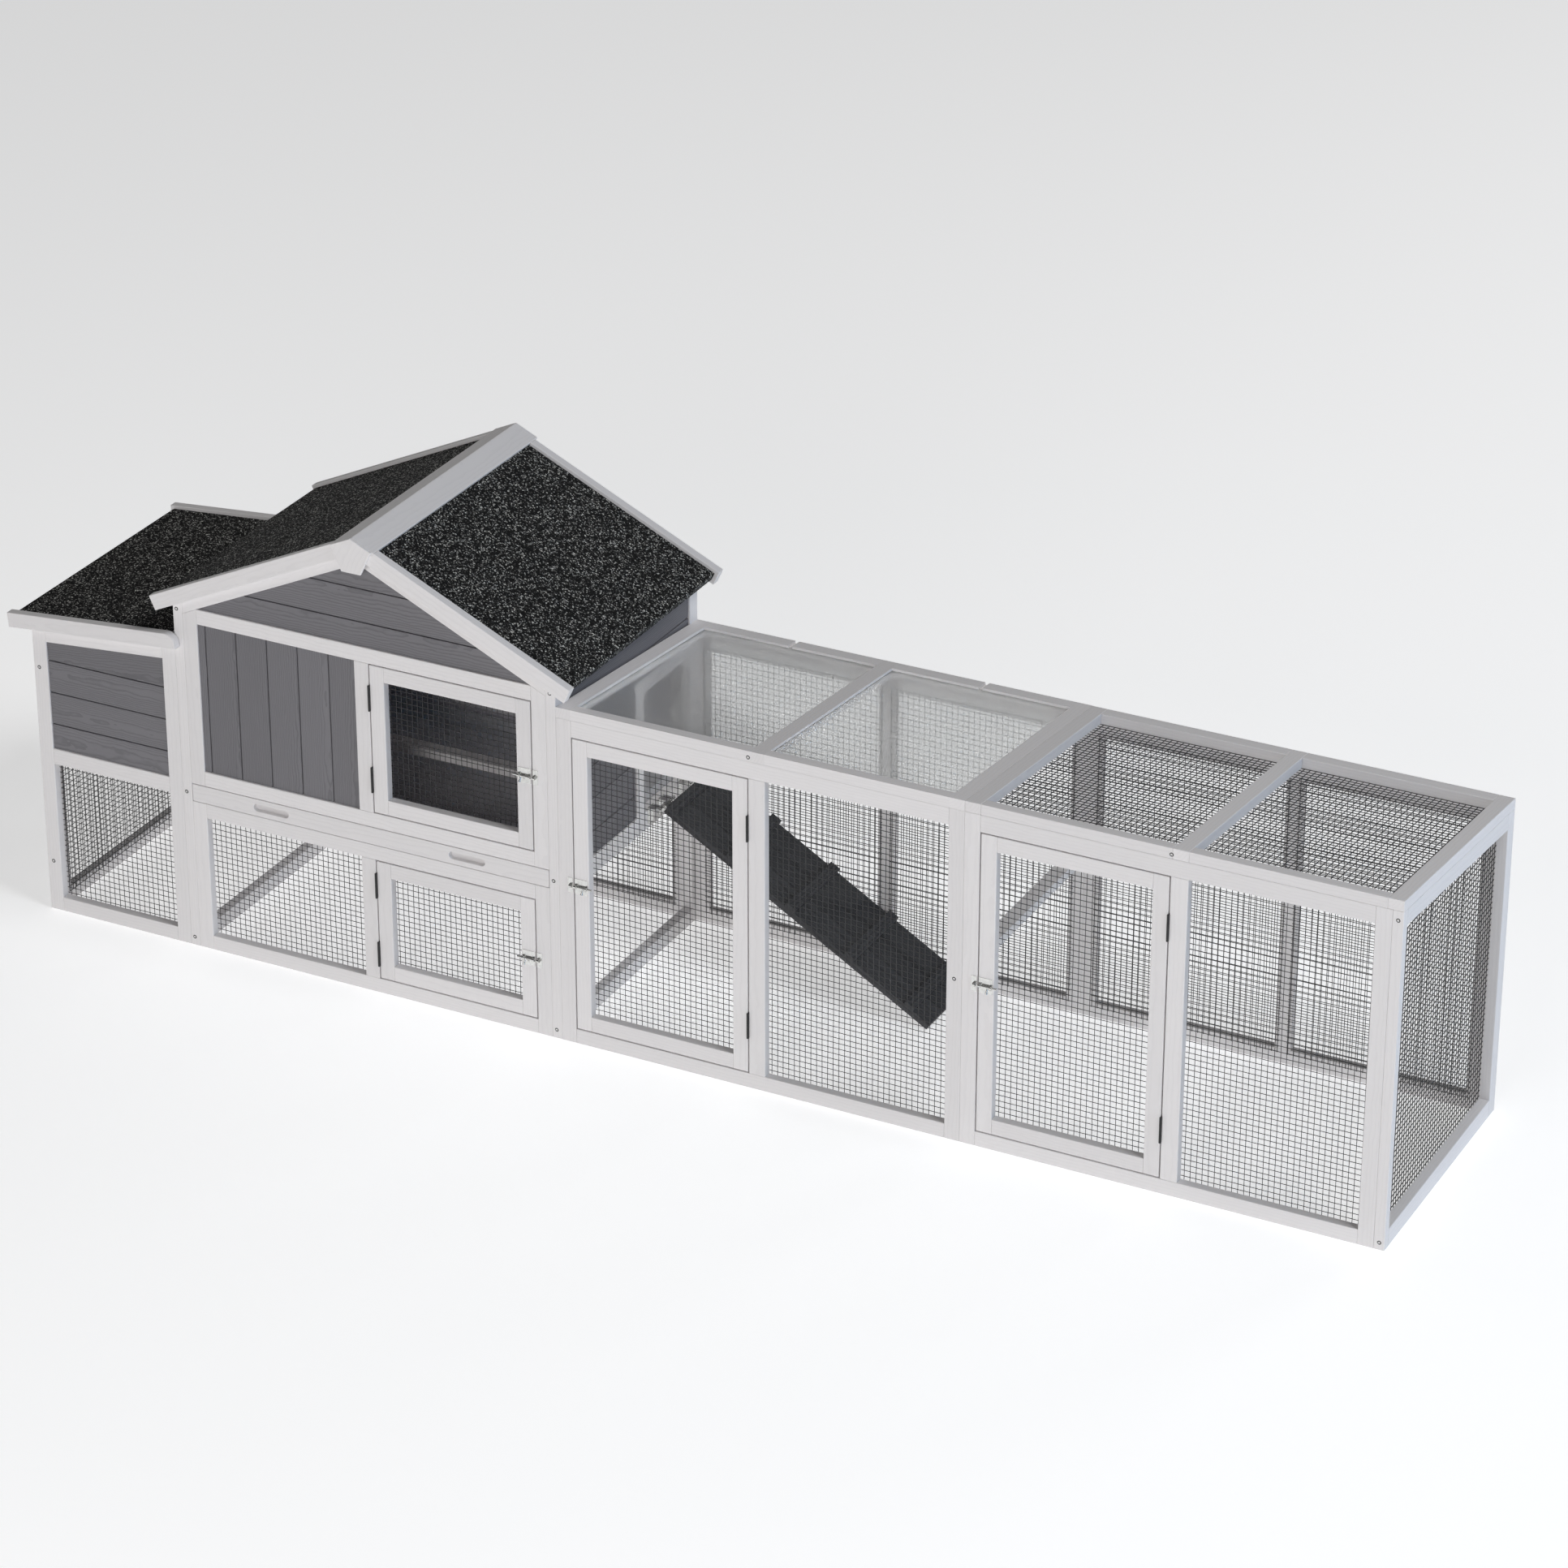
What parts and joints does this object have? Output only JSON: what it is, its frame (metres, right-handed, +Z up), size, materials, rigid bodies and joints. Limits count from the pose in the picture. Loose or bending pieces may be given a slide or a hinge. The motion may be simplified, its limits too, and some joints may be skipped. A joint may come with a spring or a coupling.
{
  "type": "chicken coop with run",
  "caption": "White and grey wooden chicken coop: gabled hutch with nest box, felt roofs, slide-out tray, ramp, mesh doors and a long wire run.",
  "frame": {"origin": "on the ground under the middle of the coop's bounding box", "axes": "+X runs to the right along the long front, +Y to the back, +Z up"},
  "size_m": [3.1518, 0.681, 1.0577],
  "materials": {
    "white_paint": "off-white painted planed softwood",
    "grey_paint": "slate grey stained softwood boards with visible grain",
    "charcoal_stain": "charcoal stained softwood",
    "roof_felt": "black bitumen felt with mineral granules",
    "black_wire": "black coated welded wire net",
    "black_steel": "black coated steel hinges",
    "zinc_steel": "zinc plated steel",
    "clear_panel": "translucent textured plastic sheet",
    "tray_sheet": "grey coated sheet"
  },
  "bodies": {
    "coop": {"hutch_front_frame": "white_paint", "hutch_front_boards": "grey_paint", "hutch_gable_boards": "grey_paint", "hutch_left_wall_frame": "white_paint", "hutch_right_wall_frame": "white_paint", "hutch_side_boards": "grey_paint", "hutch_back_frame": "white_paint", "hutch_back_boards": "grey_paint", "hutch_mesh": "black_wire", "tray_bearers": "white_paint", "perch_bars": "white_paint", "roof_boards": "white_paint", "roof_felt": "roof_felt", "barge_boards": "white_paint", "ridge_boards": "white_paint", "nest_frame": "white_paint", "nest_boards": "grey_paint", "nest_mesh": "black_wire", "nest_floor": "white_paint", "run_1_front_frame": "white_paint", "run_2_front_frame": "white_paint", "run_front_mesh": "black_wire", "run_1_back_frame": "white_paint", "run_2_back_frame": "white_paint", "run_back_mesh": "black_wire", "run_1_roof_frame": "white_paint", "run_1_roof_panes": "clear_panel", "run_2_roof_frame": "white_paint", "run_2_roof_mesh": "black_wire", "run_end_frame": "white_paint", "run_end_mesh": "black_wire", "door_hinge_fixed": "black_steel", "latch_keepers": "zinc_steel", "hinge_brackets": "zinc_steel"},
    "upper_door": {"upper_door_frame": "white_paint", "upper_door_mesh": "black_wire", "upper_door_fittings": "zinc_steel"},
    "upper_door_bolt_body": {"upper_door_bolt": "zinc_steel"},
    "lower_door": {"lower_door_frame": "white_paint", "lower_door_mesh": "black_wire", "lower_door_fittings": "zinc_steel"},
    "lower_door_bolt_body": {"lower_door_bolt": "zinc_steel"},
    "run_door_1": {"run_door_1_frame": "white_paint", "run_door_1_mesh": "black_wire", "run_door_1_fittings": "zinc_steel"},
    "run_door_1_bolt_body": {"run_door_1_bolt": "zinc_steel"},
    "run_door_2": {"run_door_2_frame": "white_paint", "run_door_2_mesh": "black_wire", "run_door_2_fittings": "zinc_steel"},
    "run_door_2_bolt_body": {"run_door_2_bolt": "zinc_steel"},
    "tray": {"tray_front": "white_paint", "tray_pan": "tray_sheet"},
    "nest_lid": {"lid_board": "white_paint", "lid_felt": "roof_felt", "lid_trims": "white_paint", "lid_hinge_leaves": "zinc_steel"},
    "ramp": {"ramp_boards": "charcoal_stain", "ramp_cleats": "charcoal_stain", "ramp_straps": "zinc_steel"}
  },
  "joints": [
    {"name": "upper_door_hinge", "type": "hinge", "parent": "coop", "child": "upper_door", "pos_m": [-0.6919, -0.3175, 0.599], "axis": [0, 0, -1], "range_deg": [0, 170]},
    {"name": "upper_door_bolt_slide", "type": "slide", "parent": "upper_door", "child": "upper_door_bolt_body", "axis": [1, 0, 0], "range_m": [0, 0.0105]},
    {"name": "lower_door_hinge", "type": "hinge", "parent": "coop", "child": "lower_door", "pos_m": [-0.6919, -0.3175, 0.1755], "axis": [0, 0, -1], "range_deg": [0, 170]},
    {"name": "lower_door_bolt_slide", "type": "slide", "parent": "lower_door", "child": "lower_door_bolt_body", "axis": [1, 0, 0], "range_m": [0, 0.0105]},
    {"name": "run_door_1_hinge", "type": "hinge", "parent": "coop", "child": "run_door_1", "pos_m": [0.1846, -0.3175, 0.3715], "axis": [0, 0, 1], "range_deg": [0, 170]},
    {"name": "run_door_1_bolt_slide", "type": "slide", "parent": "run_door_1", "child": "run_door_1_bolt_body", "axis": [-1, 0, 0], "range_m": [0, 0.0105]},
    {"name": "run_door_2_hinge", "type": "hinge", "parent": "coop", "child": "run_door_2", "pos_m": [1.09861, -0.3175, 0.3715], "axis": [0, 0, 1], "range_deg": [0, 170]},
    {"name": "run_door_2_bolt_slide", "type": "slide", "parent": "run_door_2", "child": "run_door_2_bolt_body", "axis": [-1, 0, 0], "range_m": [0, 0.0105]},
    {"name": "tray_slide", "type": "slide", "parent": "coop", "child": "tray", "axis": [0, -1, 0], "range_m": [0, 0.45]},
    {"name": "nest_lid_hinge", "type": "hinge", "parent": "coop", "child": "nest_lid", "pos_m": [-1.17428, -0.009, 0.73676], "axis": [0, 1, 0], "range_deg": [0, 45]},
    {"name": "ramp_hinge", "type": "hinge", "parent": "coop", "child": "ramp", "pos_m": [-0.22753, 0.1695, 0.36794], "axis": [0, -1, 0], "range_deg": [0, 50]}
  ]
}
